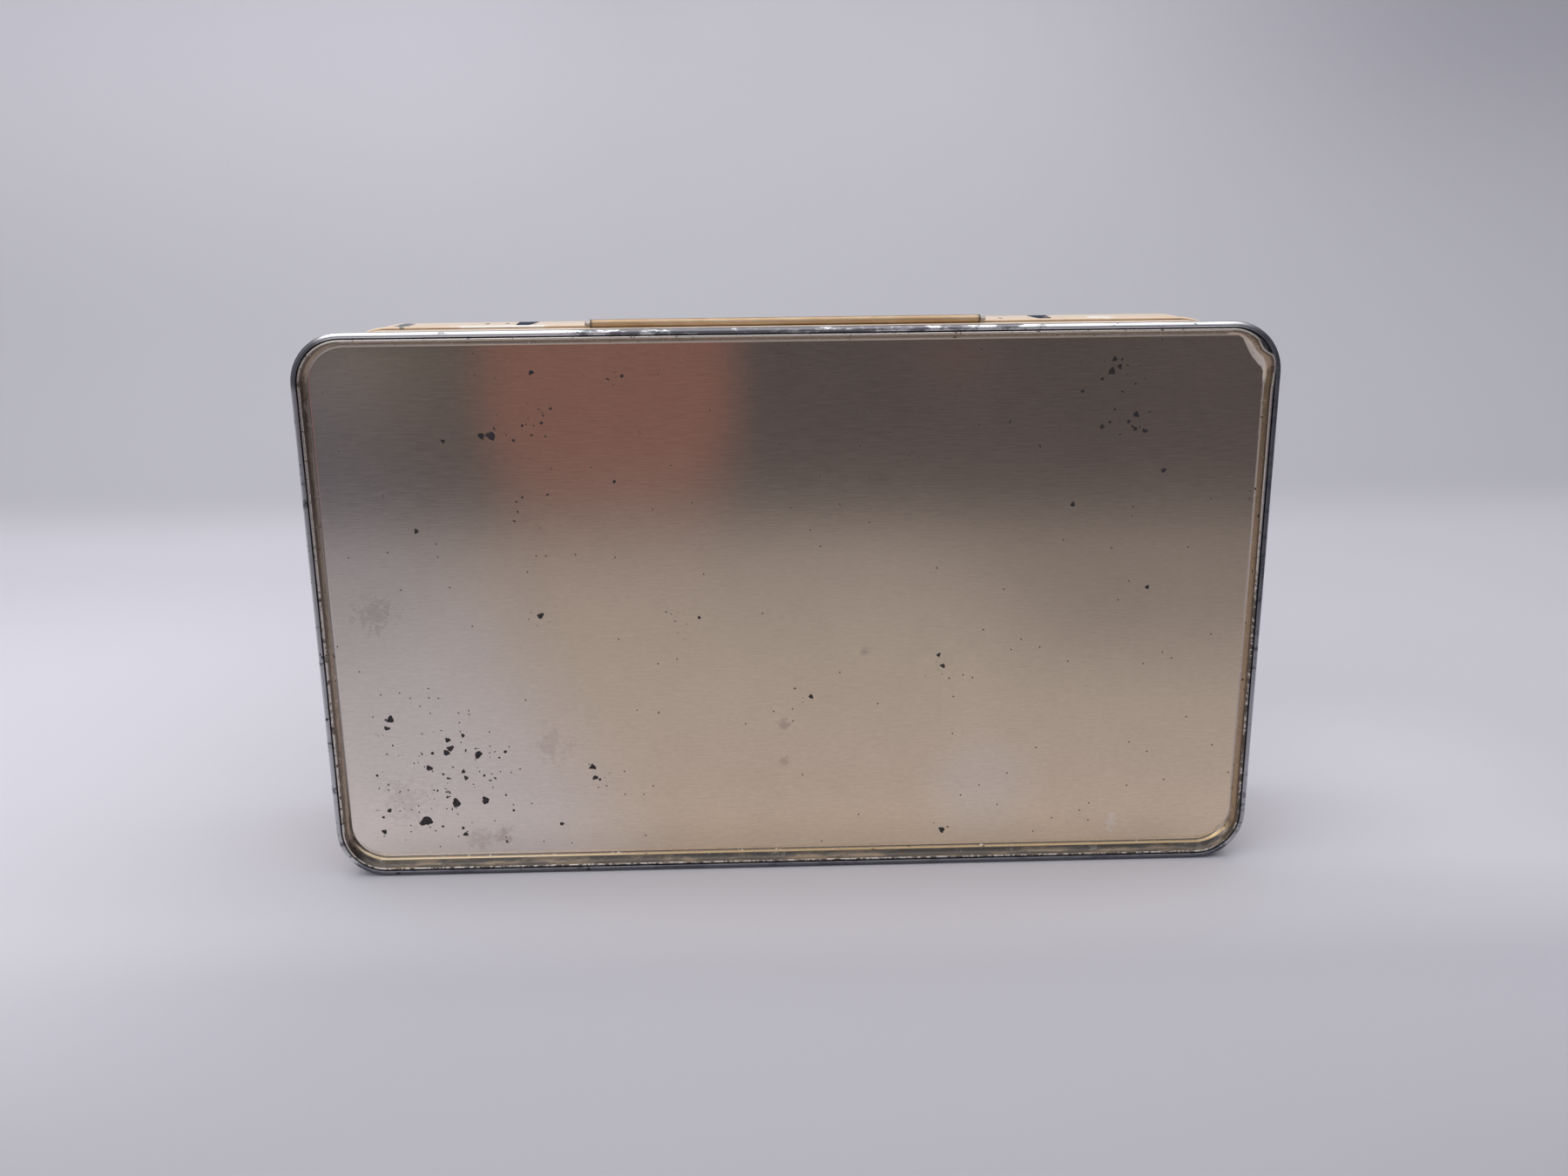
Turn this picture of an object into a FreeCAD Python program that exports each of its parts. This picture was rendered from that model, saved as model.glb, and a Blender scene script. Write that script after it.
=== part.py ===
import FreeCAD, Part
import Sketcher
import math
import os

# A shut rectangular sweet tin, standing on its long front side with its base plate forward.
# Each piece is drawn lying flat on its base, z up from the base plate to the lid, the hinge at +y,
# and its Placement stands it up: the base plate then faces -Y and the hinge lies along the top.
# Lengths are in millimetres. The origin is in the middle of the ground under the tin.

# The driving sizes: alias, value, what it is. An inset is measured in from the seam's outside.
SIZES = [
    ("tin_width", 203.0, "long side, over the seam"),
    ("tin_height", 119.7, "short side, over the seam"),
    ("tin_depth", 44.0, "base seam to the lid's raised panel"),
    ("corner_radius", 9.8, "plan corner of the seam"),
    ("seam_depth", 3.0, "how far the seam reaches back from the base"),
    ("seam_rounding", 0.8, "rounded edges of the seam"),
    ("crimp_width", 1.0, "folded wall edge, seen from the base"),
    ("groove_width", 0.3, "dark line between the crimp and the plate's lip"),
    ("groove_depth", 0.6, "depth of that line"),
    ("lip_setback", 0.15, "plate's lip behind the front of the crimp"),
    ("lip_width", 0.7, "flat lip of the base plate"),
    ("flange_depth", 1.5, "back of the plate's flange"),
    ("cup_inset", 1.8, "outside of the plate's cup, behind the flange"),
    ("sink_depth", 3.0, "front of the seam to the sunk panel"),
    ("sink_slope", 0.75, "how far the sunk wall leans inward"),
    ("plate_gauge", 0.6, "thickness behind the sunk panel"),
    ("wall_inset", 1.5, "tin wall, in from the seam"),
    ("lid_gauge", 0.4, "thickness of the lid's skirt"),
    ("lid_start", 27.0, "base to the open edge of the lid"),
    ("lid_thickness", 1.4, "lid's top over the tin's mouth"),
    ("lid_edge_radius", 1.5, "rounded edge of the lid's top"),
    ("curl_rise", 0.25, "curled edge, proud of the lid's skirt"),
    ("curl_length", 1.1, "curled edge, along the skirt"),
    ("curl_bevel", 0.2, "bevel of the curled edge"),
    ("panel_margin", 9.0, "skirt to the lid's raised panel"),
    ("panel_rise", 0.6, "height of the raised panel"),
    ("panel_radius", 5.0, "plan corner of the raised panel"),
    ("panel_bevel", 0.5, "bevelled edge of the raised panel"),
    ("thumb_length", 36.0, "thumb lip on the lid's front, at its root"),
    ("thumb_taper", 4.0, "how much each end of the thumb lip narrows"),
    ("thumb_gauge", 1.0, "thickness of the thumb lip"),
    ("hinge_length", 86.0, "rolled hinge knuckle"),
    ("knuckle_diameter", 1.8, "outside of the rolled knuckle"),
    ("leaf_gauge", 0.4, "strip that joins the knuckle to the lid"),
    ("knuckle_gap", 0.2, "knuckle to the lid's edge"),
    ("wire_diameter", 0.9, "hinge wire, which fills the knuckle's bore"),
    ("wire_overhang", 1.2, "hinge wire beyond each end of the knuckle"),
    # The dent in one corner of the sunk wall, as distances in from the two sides of the seam.
    ("dent_start", 8.6, "where the dent leaves the hinge side"),
    ("dent_rim_side", 6.1, "first fold at the lip, from the short side"),
    ("dent_rim_drop", 2.75, "first fold at the lip, from the hinge side"),
    ("dent_fold_side", 3.6, "second fold at the lip, from the short side"),
    ("dent_fold_drop", 5.8, "second fold at the lip, from the hinge side"),
    ("dent_end", 6.3, "where the dent meets the short side, at the lip"),
    ("dent_foot_side", 7.6, "first fold at the panel, from the short side"),
    ("dent_foot_drop", 3.9, "first fold at the panel, from the hinge side"),
    ("dent_crease_side", 4.6, "second fold at the panel, from the short side"),
    ("dent_crease_drop", 8.2, "second fold at the panel, from the hinge side"),
    ("dent_foot_end", 9.4, "where the dent meets the short side, at the panel"),
]

# Places that several pieces share, worked out from the driving sizes.
PLACES = [
    ("lid_inset", "=wall_inset - lid_gauge", "lid's skirt, in from the seam"),
    ("curl_inset", "=lid_inset - curl_rise", "curled edge, in from the seam"),
    ("lip_inset", "=crimp_width + groove_width", "plate's lip, in from the seam"),
    ("sink_inset", "=lip_inset + lip_width", "mouth of the sunk panel"),
    ("floor_inset", "=sink_inset + sink_slope", "edge of the sunk panel"),
    ("plate_back", "=sink_depth + plate_gauge", "back of the base plate"),
    ("neck_end", "=tin_depth - panel_rise - lid_thickness", "tin's mouth, inside the lid"),
    ("lid_face", "=tin_depth - panel_rise", "flat border of the lid"),
    ("hinge_offset", "=tin_height / 2 - wall_inset + knuckle_diameter / 2", "hinge axis, from the middle"),
    ("hinge_level", "=lid_start - knuckle_gap - knuckle_diameter / 2", "hinge axis, above the base"),
]

TOLERANCE = 1e-4


def make_sheet(doc):
    """Fill the spreadsheet with the driving sizes and the places worked out from them."""
    sheet = doc.addObject("Spreadsheet::Sheet", "sizes")
    for row, (alias, content, meaning) in enumerate(SIZES + PLACES, start=1):
        sheet.set(f"A{row}", meaning)
        sheet.set(f"B{row}", str(content))
        sheet.setAlias(f"B{row}", alias)
    doc.recompute()
    return sheet


def plane(body, role):
    """The origin plane of a body with this role."""
    return next(feature for feature in body.Origin.OriginFeatures if feature.Role == role)


def stand_up(piece):
    """Stand a piece that was drawn lying flat: its base forward, its hinge side up."""
    piece.Placement = FreeCAD.Placement(
        FreeCAD.Vector(0, 0, 0), FreeCAD.Rotation(FreeCAD.Vector(0, 1, 1), 180)
    )
    piece.setExpression("Placement.Base.y", "-sizes.tin_depth / 2")
    piece.setExpression("Placement.Base.z", "sizes.tin_height / 2")


def new_body(doc, label):
    body = doc.addObject("PartDesign::Body", label)
    body.Label = label
    stand_up(body)
    return body


def flat_sketch(body, name, level):
    """An empty sketch across the tin, this far above the base."""
    sketch = body.newObject("Sketcher::SketchObject", name)
    sketch.AttachmentSupport = [(plane(body, "XY_Plane"), "")]
    sketch.MapMode = "FlatFace"
    sketch.setExpression("AttachmentOffset.Base.z", level)
    return sketch


def bind(sketch, name, constraint, expression):
    """Add a named dimension to a sketch and tie it to the sheet."""
    index = sketch.addConstraint(constraint)
    sketch.renameConstraint(index, name)
    sketch.setExpression(f"Constraints.{name}", expression)


def corner_arc(centre_x, centre_y, radius, quarter):
    """A quarter circle that starts this many quarter turns from +x."""
    circle = Part.Circle(FreeCAD.Vector(centre_x, centre_y, 0), FreeCAD.Vector(0, 0, 1), radius)
    start = quarter * math.pi / 2
    return Part.ArcOfCircle(circle, start, start + math.pi / 2)


def segment(start, end):
    return Part.LineSegment(FreeCAD.Vector(*start, 0), FreeCAD.Vector(*end, 0))


def outline(body, name, level, inset, radius=None, folds=()):
    """A rounded rectangle round the tin's middle, this far in from the seam's outside.

    folds, where given, replaces the corner at -x and +y by a buckled one. It holds four points,
    each as its distance in from the short side and its distance in from the hinge side.
    """
    sketch = flat_sketch(body, name, level)
    radius = radius or f"sizes.corner_radius - ({inset})"
    half_width = sketch.evalExpression(f"sizes.tin_width / 2 - ({inset})")
    half_height = sketch.evalExpression(f"sizes.tin_height / 2 - ({inset})")
    bend = sketch.evalExpression(radius)
    flat_x = half_width - bend
    flat_y = half_height - bend
    points = [
        (
            sketch.evalExpression(f"({side}) - sizes.tin_width / 2"),
            sketch.evalExpression(f"sizes.tin_height / 2 - ({drop})"),
        )
        for side, drop in folds
    ]
    corner = [segment(start, end) for start, end in zip(points, points[1:])]
    top_end = points[0] if folds else (-flat_x, half_height)
    left_start = points[-1] if folds else (-half_width, flat_y)
    shapes = [
        segment((-flat_x, -half_height), (flat_x, -half_height)),
        corner_arc(flat_x, -flat_y, bend, 3),
        segment((half_width, -flat_y), (half_width, flat_y)),
        corner_arc(flat_x, flat_y, bend, 0),
        segment((flat_x, half_height), top_end),
        *(corner or [corner_arc(-flat_x, flat_y, bend, 1)]),
        segment(left_start, (-half_width, -flat_y)),
        corner_arc(-flat_x, -flat_y, bend, 2),
    ]
    last = len(shapes) - 1
    arcs = [index for index, shape in enumerate(shapes) if isinstance(shape, Part.ArcOfCircle)]
    sketch.addGeometry(shapes, False)
    for index in range(len(shapes)):
        following = (index + 1) % len(shapes)
        joint = "Tangent" if index in arcs or following in arcs else "Coincident"
        sketch.addConstraint(Sketcher.Constraint(joint, index, 2, following, 1))
    sketch.addConstraint(Sketcher.Constraint("Horizontal", 0))
    sketch.addConstraint(Sketcher.Constraint("Vertical", 2))
    if not folds:
        sketch.addConstraint(Sketcher.Constraint("Horizontal", 4))
        sketch.addConstraint(Sketcher.Constraint("Vertical", 6))
    for index in arcs[1:]:
        sketch.addConstraint(Sketcher.Constraint("Equal", arcs[0], index))
    sketch.addConstraint(Sketcher.Constraint("Symmetric", arcs[1], 3, last, 3, -1, 1))
    bind(
        sketch, "half_width", Sketcher.Constraint("DistanceX", -1, 1, 2, 1, half_width),
        f"sizes.tin_width / 2 - ({inset})",
    )
    bind(
        sketch, "half_height", Sketcher.Constraint("DistanceY", 0, 1, -1, 1, half_height),
        f"sizes.tin_height / 2 - ({inset})",
    )
    bind(sketch, "bend", Sketcher.Constraint("Radius", arcs[0], bend), radius)
    for count, (side, drop) in enumerate(folds):
        # Each fold is the end of the line before it: the top line, then the corner's own lines.
        x, y = points[count]
        bind(
            sketch, f"fold_{count}_side",
            Sketcher.Constraint("DistanceX", 4 + count, 2, -1, 1, -x),
            f"sizes.tin_width / 2 - ({side})",
        )
        bind(
            sketch, f"fold_{count}_drop",
            Sketcher.Constraint("DistanceY", -1, 1, 4 + count, 2, y),
            f"sizes.tin_height / 2 - ({drop})",
        )
    return sketch


def pad(body, name, sketch, length):
    """Raise a sketch towards the lid."""
    feature = body.newObject("PartDesign::Pad", name)
    feature.Profile = sketch
    feature.setExpression("Length", length)
    return feature


def pocket(body, name, sketch, depth):
    """Cut a sketch away towards the lid."""
    feature = body.newObject("PartDesign::Pocket", name)
    feature.Profile = sketch
    feature.Reversed = True
    feature.setExpression("Length", depth)
    return feature


def rim_edges(feature, level, inset):
    """Names of the edges that run round the outline at this level and inset."""
    half_width = feature.evalExpression(f"sizes.tin_width / 2 - ({inset})")
    half_height = feature.evalExpression(f"sizes.tin_height / 2 - ({inset})")
    height = feature.evalExpression(level)

    def on_outline(vertex):
        beside = abs(abs(vertex.X) - half_width) < TOLERANCE
        above = abs(abs(vertex.Y) - half_height) < TOLERANCE
        return abs(vertex.Z - height) < TOLERANCE and (beside or above)

    return [
        f"Edge{number}"
        for number, edge in enumerate(feature.Shape.Edges, start=1)
        if all(on_outline(vertex) for vertex in edge.Vertexes)
    ]


def ease_rim(body, name, feature, rims, kind, size):
    """Fillet or chamfer the edges of an outline at each (level, inset) in rims."""
    body.Document.recompute()
    edges = [edge for level, inset in rims for edge in rim_edges(feature, level, inset)]
    eased = body.newObject(f"PartDesign::{kind}", name)
    eased.Base = (feature, edges)
    eased.setExpression({"Fillet": "Radius", "Chamfer": "Size"}[kind], size)
    body.Tip = eased
    return eased


def make_tin_body(doc):
    """The wall, solid inside, with its edge folded round the base plate as the seam."""
    body = new_body(doc, "tin_body")
    wall = outline(body, "wall_outline", "0", "sizes.wall_inset")
    pad(body, "wall", wall, "sizes.neck_end")
    seam = outline(body, "seam_outline", "0", "0")
    ring = pad(body, "seam", seam, "sizes.seam_depth")
    rims = [("0", "0"), ("sizes.seam_depth", "0")]
    ease_rim(body, "seam_edges", ring, rims, "Fillet", "sizes.seam_rounding")
    mouth = outline(body, "mouth_outline", "0", "sizes.crimp_width")
    pocket(body, "mouth", mouth, "sizes.flange_depth")
    seat = outline(body, "seat_outline", "sizes.flange_depth", "sizes.cup_inset")
    pocket(body, "seat", seat, "sizes.plate_back - sizes.flange_depth")
    return body


def make_base_plate(doc):
    """The pressed end: a flange in the crimp, a lip, and a sunk flat panel dented in one corner."""
    body = new_body(doc, "base_plate")
    flange = outline(body, "flange_outline", "sizes.groove_depth", "sizes.crimp_width")
    pad(body, "flange", flange, "sizes.flange_depth - sizes.groove_depth")
    lip = outline(body, "lip_outline", "sizes.lip_setback", "sizes.lip_inset")
    pad(body, "lip", lip, "sizes.flange_depth - sizes.lip_setback")
    cup = outline(body, "cup_outline", "sizes.groove_depth", "sizes.cup_inset")
    pad(body, "cup", cup, "sizes.plate_back - sizes.groove_depth")
    rim_folds = [
        ("sizes.dent_start", "sizes.sink_inset"),
        ("sizes.dent_rim_side", "sizes.dent_rim_drop"),
        ("sizes.dent_fold_side", "sizes.dent_fold_drop"),
        ("sizes.sink_inset", "sizes.dent_end"),
    ]
    foot_folds = [
        ("sizes.dent_start", "sizes.floor_inset"),
        ("sizes.dent_foot_side", "sizes.dent_foot_drop"),
        ("sizes.dent_crease_side", "sizes.dent_crease_drop"),
        ("sizes.floor_inset", "sizes.dent_foot_end"),
    ]
    rim = outline(body, "sink_rim", "sizes.lip_setback", "sizes.sink_inset", folds=rim_folds)
    foot = outline(body, "sink_foot", "sizes.sink_depth", "sizes.floor_inset", folds=foot_folds)
    sink = body.newObject("PartDesign::SubtractiveLoft", "sink")
    sink.Profile = rim
    sink.Sections = [foot]
    sink.Ruled = True
    return body


def make_lid(doc):
    """The lid: a skirt over the tin's mouth with a curled edge, a raised panel and a thumb lip."""
    body = new_body(doc, "lid")
    skirt = outline(body, "skirt_outline", "sizes.lid_start", "sizes.lid_inset")
    top = pad(body, "skirt", skirt, "sizes.lid_face - sizes.lid_start")
    rims = [("sizes.lid_face", "sizes.lid_inset")]
    ease_rim(body, "top_edges", top, rims, "Fillet", "sizes.lid_edge_radius")
    curl = outline(body, "curl_outline", "sizes.lid_start", "sizes.curl_inset")
    ring = pad(body, "curl", curl, "sizes.curl_length")
    curl_end = "sizes.lid_start + sizes.curl_length"
    rims = [("sizes.lid_start", "sizes.curl_inset"), (curl_end, "sizes.curl_inset")]
    ease_rim(body, "curl_edges", ring, rims, "Chamfer", "sizes.curl_bevel")
    panel_inset = "sizes.lid_inset + sizes.panel_margin"
    panel = outline(body, "panel_outline", "sizes.lid_face", panel_inset, "sizes.panel_radius")
    raised = pad(body, "panel", panel, "sizes.panel_rise")
    rims = [("sizes.tin_depth", panel_inset)]
    ease_rim(body, "panel_edges", raised, rims, "Chamfer", "sizes.panel_bevel")
    pad(body, "thumb_lip", thumb_outline(body), "sizes.thumb_gauge")
    mouth = outline(body, "lid_mouth", "sizes.lid_start", "sizes.wall_inset")
    pocket(body, "inside", mouth, "sizes.neck_end - sizes.lid_start")
    return body


def thumb_outline(body):
    """The thumb lip, drawn from inside the skirt out to the plane that the tin stands on."""
    sketch = flat_sketch(body, "thumb_outline", "sizes.lid_start")
    root = sketch.evalExpression("sizes.thumb_length / 2")
    tip = sketch.evalExpression("sizes.thumb_length / 2 - sizes.thumb_taper")
    inner = sketch.evalExpression("sizes.tin_height / 2 - sizes.wall_inset")
    outer = sketch.evalExpression("sizes.tin_height / 2")
    corners = [(-root, -inner), (-tip, -outer), (tip, -outer), (root, -inner)]
    sides = list(zip(corners, corners[1:] + corners[:1]))
    sketch.addGeometry([segment(start, end) for start, end in sides], False)
    for index in range(4):
        sketch.addConstraint(Sketcher.Constraint("Coincident", index, 2, (index + 1) % 4, 1))
    sketch.addConstraint(Sketcher.Constraint("Symmetric", 1, 1, 1, 2, -2))
    sketch.addConstraint(Sketcher.Constraint("Symmetric", 3, 1, 3, 2, -2))
    bind(
        sketch, "tip", Sketcher.Constraint("DistanceX", 1, 1, 1, 2, 2 * tip),
        "sizes.thumb_length - 2 * sizes.thumb_taper",
    )
    bind(
        sketch, "root", Sketcher.Constraint("DistanceX", 3, 2, 3, 1, 2 * root),
        "sizes.thumb_length",
    )
    bind(
        sketch, "ground", Sketcher.Constraint("DistanceY", 1, 1, -1, 1, outer),
        "sizes.tin_height / 2",
    )
    bind(
        sketch, "wall", Sketcher.Constraint("DistanceY", 3, 1, -1, 1, inner),
        "sizes.tin_height / 2 - sizes.wall_inset",
    )
    return sketch


def rod(doc, name, diameter, length):
    """A rod along the hinge axis, centred on the tin's width, in the flat drawing position."""
    cylinder = doc.addObject("Part::Cylinder", name)
    cylinder.setExpression("Radius", f"({diameter}) / 2")
    cylinder.setExpression("Height", length)
    cylinder.Placement = FreeCAD.Placement(
        FreeCAD.Vector(0, 0, 0), FreeCAD.Rotation(FreeCAD.Vector(0, 1, 0), 90)
    )
    cylinder.setExpression("Placement.Base.x", f"-({length}) / 2")
    cylinder.setExpression("Placement.Base.y", "sizes.hinge_offset")
    cylinder.setExpression("Placement.Base.z", "sizes.hinge_level")
    return cylinder


def make_hinge(doc):
    """The rolled knuckle with the strip that joins it to the lid, and the wire through it."""
    roll = rod(doc, "knuckle_roll", "sizes.knuckle_diameter", "sizes.hinge_length")
    leaf = doc.addObject("Part::Box", "knuckle_leaf")
    leaf.setExpression("Length", "sizes.hinge_length")
    leaf.setExpression("Width", "sizes.leaf_gauge")
    leaf.setExpression("Height", "sizes.lid_start - sizes.hinge_level")
    leaf.setExpression("Placement.Base.x", "-sizes.hinge_length / 2")
    leaf.setExpression("Placement.Base.y", "sizes.tin_height / 2 - sizes.wall_inset")
    leaf.setExpression("Placement.Base.z", "sizes.hinge_level")
    rolled = doc.addObject("Part::Fuse", "rolled_strip")
    rolled.Base = roll
    rolled.Tool = leaf
    bore = rod(doc, "knuckle_bore", "sizes.wire_diameter", "sizes.hinge_length")
    knuckle = doc.addObject("Part::Cut", "hinge_knuckle")
    knuckle.Base = rolled
    knuckle.Tool = bore
    stand_up(knuckle)
    wire_length = "sizes.hinge_length + 2 * sizes.wire_overhang"
    core = rod(doc, "wire_core", "sizes.wire_diameter", wire_length)
    wire = doc.addObject("Part::Compound", "hinge_wire")
    wire.Links = [core]
    stand_up(wire)
    return [knuckle, wire]


def check(doc, pieces):
    """Stop before anything is written if a feature failed or a piece isn't one valid solid."""
    for feature in doc.Objects:
        if "Invalid" in feature.State or "Error" in feature.State:
            raise RuntimeError(f"{feature.Label} failed: {feature.State}")
    for piece in pieces:
        shape = piece.Shape
        if shape.isNull() or not shape.isValid() or len(shape.Solids) != 1:
            raise RuntimeError(f"{piece.Label} isn't one valid solid")


def main():
    doc = FreeCAD.newDocument("sweet_tin")
    make_sheet(doc)
    pieces = [make_tin_body(doc), make_base_plate(doc), make_lid(doc), *make_hinge(doc)]
    doc.recompute()
    check(doc, pieces)
    os.makedirs("parts", exist_ok=True)
    for piece in pieces:
        piece.Shape.exportStep(f"parts/{piece.Label}.step")
        box = piece.Shape.BoundBox
        print(f"{piece.Label}: volume {piece.Shape.Volume:.1f}, z {box.ZMin:.2f} to {box.ZMax:.2f}")


main()
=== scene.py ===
"""Looks of the sweet tin: a shut, worn, hinged tin that stands on a long side, base plate to the front."""
import math

import bmesh
import bpy
from mathutils import Matrix, Vector


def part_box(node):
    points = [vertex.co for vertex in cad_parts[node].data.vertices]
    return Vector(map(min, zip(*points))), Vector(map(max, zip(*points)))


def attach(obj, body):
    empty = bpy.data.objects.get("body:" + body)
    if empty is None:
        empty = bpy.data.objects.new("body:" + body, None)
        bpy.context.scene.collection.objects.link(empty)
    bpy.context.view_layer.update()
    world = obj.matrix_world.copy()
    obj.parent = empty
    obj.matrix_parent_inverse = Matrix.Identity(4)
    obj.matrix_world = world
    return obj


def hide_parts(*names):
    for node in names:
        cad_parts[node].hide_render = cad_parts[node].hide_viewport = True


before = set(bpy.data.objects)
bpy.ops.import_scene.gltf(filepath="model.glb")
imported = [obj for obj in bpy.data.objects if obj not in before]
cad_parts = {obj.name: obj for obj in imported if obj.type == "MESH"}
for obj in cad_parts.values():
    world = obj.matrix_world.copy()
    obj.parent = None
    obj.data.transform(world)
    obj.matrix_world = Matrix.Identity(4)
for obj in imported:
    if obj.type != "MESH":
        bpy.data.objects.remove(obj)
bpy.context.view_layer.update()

MM = 0.001
TIN_LOW, TIN_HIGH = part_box("tin_body")
LID_LOW, LID_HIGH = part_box("lid")
KNUCKLE_LOW, KNUCKLE_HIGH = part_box("hinge_knuckle")
WIRE_LOW, WIRE_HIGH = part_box("hinge_wire")
HALF_WIDTH = TIN_HIGH.x
HALF_HEIGHT = (TIN_HIGH.z - TIN_LOW.z) / 2
MIDDLE = TIN_LOW.z + HALF_HEIGHT
FRONT = TIN_LOW.y

# Radii of the rounded corners.
SEAM_CORNER = 10.6 * MM
LID_CORNER = 13.0 * MM
WALL_CORNER = LID_CORNER - 1.6 * MM
PANEL_CORNER = 5.0 * MM

# How finely an outline is divided: cuts along its long and short sides, and steps round its corners.
LONG_CUTS, SHORT_CUTS = 45, 25
SEAM_STEPS, LID_STEPS = 12, 22

SHEET_GAUGE = 0.2


# ---------------------------------------------------------------- making pieces

def clear():
    """Leaves nothing selected."""
    bpy.ops.object.select_all(action="DESELECT")


def only(piece):
    """Selects this piece alone and makes it the active one."""
    clear()
    piece.select_set(True)
    bpy.context.view_layer.objects.active = piece


def close():
    """Ends the shaping of a mesh."""
    if bpy.context.mode != "OBJECT":
        bpy.ops.object.mode_set(mode="OBJECT")


def begin(name, size=(1, 1, 1)):
    """Names and sizes the primitive just added, sets its place into its mesh and opens it for shaping."""
    piece = bpy.context.object
    piece.scale = size
    piece.name = piece.data.name = name
    bpy.ops.object.transform_apply(location=True, rotation=True, scale=True)
    bpy.ops.object.mode_set(mode="EDIT")
    bpy.ops.mesh.select_all(action="SELECT")
    return piece


def done(piece, angle=50):
    """Closes the piece and smooths its shading, except across edges sharper than the angle."""
    close()
    only(piece)
    bpy.ops.object.shade_smooth_by_angle(angle=math.radians(angle))
    return piece


def pick(piece, kind, test):
    """Selects only the piece's points, edges or faces that pass the test, and counts them."""
    bpy.ops.mesh.select_mode(type=kind)
    bpy.ops.mesh.select_all(action="DESELECT")
    mesh = bmesh.from_edit_mesh(piece.data)
    parts = {"VERT": mesh.verts, "EDGE": mesh.edges, "FACE": mesh.faces}[kind]
    chosen = [part for part in parts if test(part)]
    for part in chosen:
        part.select_set(True)
    bmesh.update_edit_mesh(piece.data)
    return len(chosen)


def drawn_in(place):
    """How far a place lies inside the tin's rounded outline, in millimetres."""
    across = abs(place.x) - (HALF_WIDTH - SEAM_CORNER)
    up = abs(place.z - MIDDLE) - (HALF_HEIGHT - SEAM_CORNER)
    outside = math.hypot(max(across, 0), max(up, 0)) + min(max(across, up), 0)
    return (SEAM_CORNER - outside) / MM


def back_of(place):
    """How far a place lies behind the front of the seam, in millimetres."""
    return (place.y - FRONT) / MM


def rounded_sheet(name, inset, back, facing=-1, corner=None, steps=SEAM_STEPS):
    """A flat sheet with the tin's rounded outline, drawn in by inset and with points along its sides.

    It lies back millimetres behind the front of the seam; facing is -1 to the front and 1 to the back.
    """
    clear()
    bpy.ops.mesh.primitive_plane_add(
        size=1, location=(0, FRONT + back * MM, MIDDLE), rotation=(-facing * math.pi / 2, 0, 0))
    sheet = begin(name, (2 * (HALF_WIDTH - inset * MM), 2 * (HALF_HEIGHT - inset * MM), 1))
    bpy.ops.mesh.bevel(offset=corner or SEAM_CORNER - inset * MM, segments=steps, affect="VERTICES")
    for shortest, cuts in ((HALF_WIDTH, LONG_CUTS), (HALF_HEIGHT / 2, SHORT_CUTS)):
        pick(sheet, "EDGE", lambda edge: edge.calc_length() > shortest)
        bpy.ops.mesh.subdivide(number_cuts=cuts)
    pick(sheet, "FACE", lambda face: True)
    return sheet


def press(profile, facing=-1):
    """Bends the selected faces ring by ring; the profile gives each bend's inset and back."""
    for (inset, back), (next_inset, next_back) in zip(profile, profile[1:]):
        bpy.ops.mesh.inset(thickness=(next_inset - inset) * MM, depth=facing * (next_back - back) * MM)


def open_middle():
    """Takes out the flat faces still selected inside the last bend."""
    bpy.ops.mesh.delete(type="FACE")


def join(name, first, second):
    """Joins two sheets at their shared outline."""
    close()
    only(first)
    second.select_set(True)
    bpy.ops.object.join()
    first.name = first.data.name = name
    bpy.ops.object.mode_set(mode="EDIT")
    bpy.ops.mesh.select_all(action="SELECT")
    bpy.ops.mesh.remove_doubles(threshold=0.004 * MM)
    return first


def use(piece, modifier):
    """Works a modifier into the piece's mesh."""
    only(piece)
    bpy.ops.object.modifier_apply(modifier=modifier.name)


def wear_in(piece, amount, size):
    """Makes the piece slightly uneven, as handled thin metal is; both numbers are in millimetres."""
    close()
    clouds = bpy.data.textures.new("unevenness", "CLOUDS")
    clouds.noise_scale = size * MM
    clouds.noise_depth = 1
    bend = piece.modifiers.new("unevenness", "DISPLACE")
    bend.texture = clouds
    bend.texture_coords = "LOCAL"
    bend.strength = amount * MM
    use(piece, bend)


def thicken(piece, gauge, side=-1):
    """Gives a bent sheet its gauge, in millimetres; side is -1 for inwards and 0 for both ways."""
    close()
    sheet = piece.modifiers.new("gauge", "SOLIDIFY")
    sheet.thickness = gauge * MM
    sheet.offset = side
    use(piece, sheet)


def give(piece, *finishes):
    """Gives the piece its finishes, one slot for each."""
    for finish in finishes:
        piece.data.materials.append(finish)


# ---------------------------------------------------------------- working out finishes

class Shade:
    """A number, place or colour that changes over a surface; sums and products of them are shader nodes."""

    def __init__(self, socket):
        self.socket = socket
        self.tree = socket.id_data

    def work(self, operation, first, second=0.0):
        """Works with two numbers or shades."""
        return Shade(add(self.tree, "Math", {0: first, 1: second}, operation=operation).outputs[0])

    def __add__(self, other):
        return self.work("ADD", self, other)

    def __sub__(self, other):
        return self.work("SUBTRACT", self, other)

    def __rsub__(self, other):
        return self.work("SUBTRACT", other, self)

    def __mul__(self, other):
        return self.work("MULTIPLY", self, other)

    def __truediv__(self, other):
        return self.work("DIVIDE", self, other)

    def __pow__(self, other):
        return self.work("POWER", self, other)

    def __gt__(self, other):
        return self.work("GREATER_THAN", self, other)

    def __abs__(self):
        return self.work("ABSOLUTE", self)


def fill(tree, node, inputs):
    """Links the node's inputs that are given shades or sockets, and sets the others."""
    for key, value in inputs.items():
        value = getattr(value, "socket", value)
        if isinstance(value, bpy.types.NodeSocket):
            tree.links.new(value, node.inputs[key])
        else:
            node.inputs[key].default_value = value


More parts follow.
